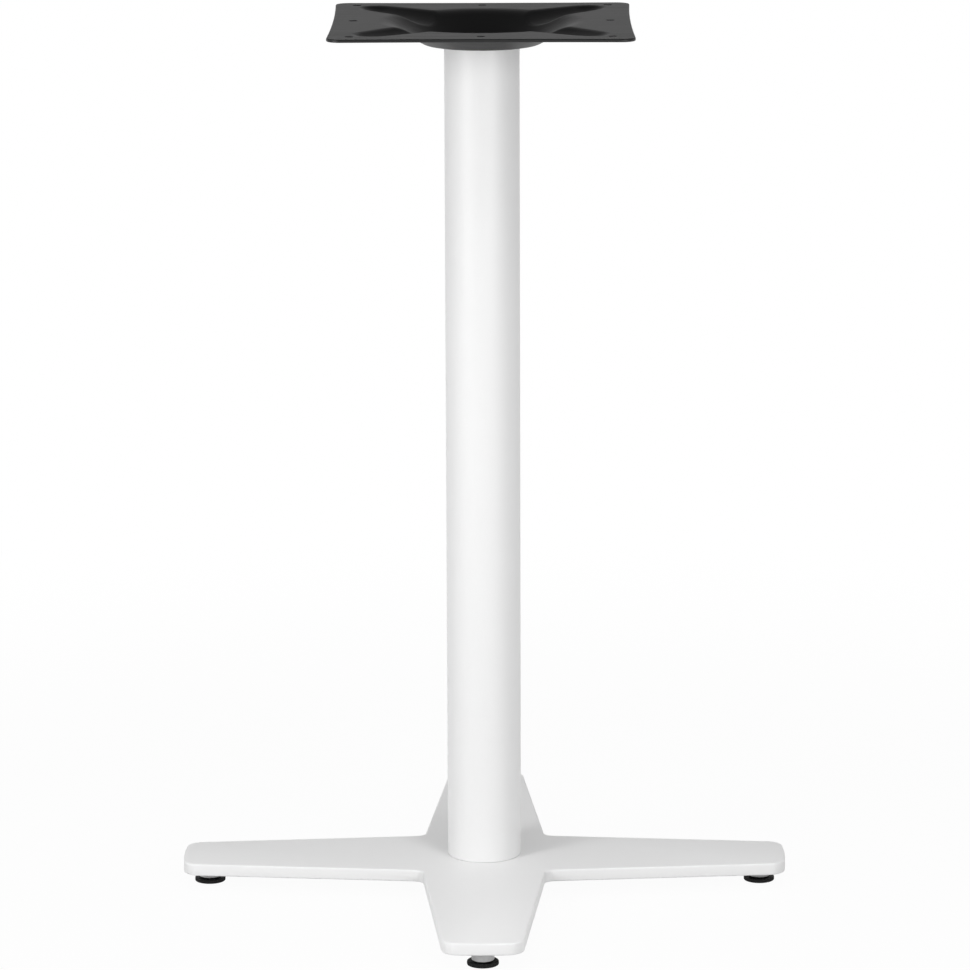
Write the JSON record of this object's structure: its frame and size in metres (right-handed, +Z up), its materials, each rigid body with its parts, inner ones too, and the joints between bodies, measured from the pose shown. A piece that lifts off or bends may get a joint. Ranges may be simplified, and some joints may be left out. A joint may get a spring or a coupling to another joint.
{
  "type": "pedestal table base",
  "caption": "Pedestal base for a small table: a flat cross of tapered arms on screw-adjusted feet, a round white column and a dished black plate with screw holes for the top.",
  "frame": {"origin": "on the floor, on the column's axis, with the feet screwed fully in", "axes": "+Z up along the column; the four arms lie along +X, +Y, -X and -Y; -Y is the picture's side"},
  "size_m": [0.494, 0.494, 0.71],
  "materials": {
    "white_coat": "satin white powder coat, very fine texture",
    "black_coat": "fine-textured matt black powder coat on pressed sheet",
    "turned_steel": "bare turned steel",
    "zinc_plate": "bright zinc plate",
    "black_nylon": "moulded black nylon with a knurled rim"
  },
  "bodies": {
    "stand": {"base_cross": "white_coat", "column": "white_coat", "lower_plug": "turned_steel", "upper_plug": "turned_steel", "top_plate": "black_coat", "tie_rod": "zinc_plate", "lower_washer": "zinc_plate", "lower_nut": "zinc_plate", "upper_washer": "zinc_plate", "upper_nut": "zinc_plate"},
    "right_stud": {"right_foot_stud": "zinc_plate"},
    "right_pad": {"right_foot_pad": "black_nylon"},
    "rear_stud": {"rear_foot_stud": "zinc_plate"},
    "rear_pad": {"rear_foot_pad": "black_nylon"},
    "left_stud": {"left_foot_stud": "zinc_plate"},
    "left_pad": {"left_foot_pad": "black_nylon"},
    "front_stud": {"front_foot_stud": "zinc_plate"},
    "front_pad": {"front_foot_pad": "black_nylon"}
  },
  "joints": [
    {"name": "right_foot_travel", "type": "slide", "parent": "stand", "child": "right_stud", "axis": [0, 0, -1], "range_m": [0, 0.01]},
    {"name": "right_foot_turn", "type": "hinge", "parent": "right_stud", "child": "right_pad", "pos_m": [0.226, 0, 0], "axis": [0, 0, -1], "range_deg": [0, 2880]},
    {"name": "rear_foot_travel", "type": "slide", "parent": "stand", "child": "rear_stud", "axis": [0, 0, -1], "range_m": [0, 0.01]},
    {"name": "rear_foot_turn", "type": "hinge", "parent": "rear_stud", "child": "rear_pad", "pos_m": [0, 0.226, 0], "axis": [0, 0, -1], "range_deg": [0, 2880]},
    {"name": "left_foot_travel", "type": "slide", "parent": "stand", "child": "left_stud", "axis": [0, 0, -1], "range_m": [0, 0.01]},
    {"name": "left_foot_turn", "type": "hinge", "parent": "left_stud", "child": "left_pad", "pos_m": [-0.226, 0, 0], "axis": [0, 0, -1], "range_deg": [0, 2880]},
    {"name": "front_foot_travel", "type": "slide", "parent": "stand", "child": "front_stud", "axis": [0, 0, -1], "range_m": [0, 0.01]},
    {"name": "front_foot_turn", "type": "hinge", "parent": "front_stud", "child": "front_pad", "pos_m": [0, -0.226, 0], "axis": [0, 0, -1], "range_deg": [0, 2880]}
  ],
  "couplings": [
    {"joint": "right_foot_travel", "follows": "right_foot_turn", "m_per_rad": 0.0001989},
    {"joint": "rear_foot_travel", "follows": "rear_foot_turn", "m_per_rad": 0.0001989},
    {"joint": "left_foot_travel", "follows": "left_foot_turn", "m_per_rad": 0.0001989},
    {"joint": "front_foot_travel", "follows": "front_foot_turn", "m_per_rad": 0.0001989}
  ]
}
